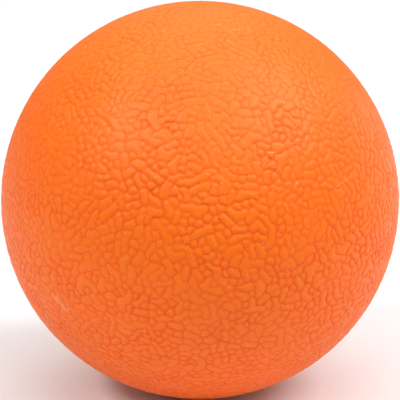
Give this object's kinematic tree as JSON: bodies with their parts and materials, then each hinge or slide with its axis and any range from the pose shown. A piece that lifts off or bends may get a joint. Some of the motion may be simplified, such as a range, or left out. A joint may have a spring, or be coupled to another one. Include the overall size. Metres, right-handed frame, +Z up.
{
  "type": "massage ball",
  "caption": "Solid orange rubber massage ball with a dense moulded grain, a round core sealed inside a cover of half cups.",
  "frame": {"origin": "centre of the ball", "axes": "+Z up, +Y along the axis that the cover's mould opens along, from the front half cup to the rear one, +X to the right seen from the front"},
  "size_m": [0.063, 0.063, 0.063],
  "materials": {
    "cover_rubber": "satin",
    "core_rubber": "matte",
    "rubber_cement": "satin"
  },
  "bodies": {
    "root": {"core": "core_rubber", "bond_cement": "rubber_cement", "front_cover_half": "cover_rubber", "rear_cover_half": "cover_rubber"}
  },
  "joints": []
}
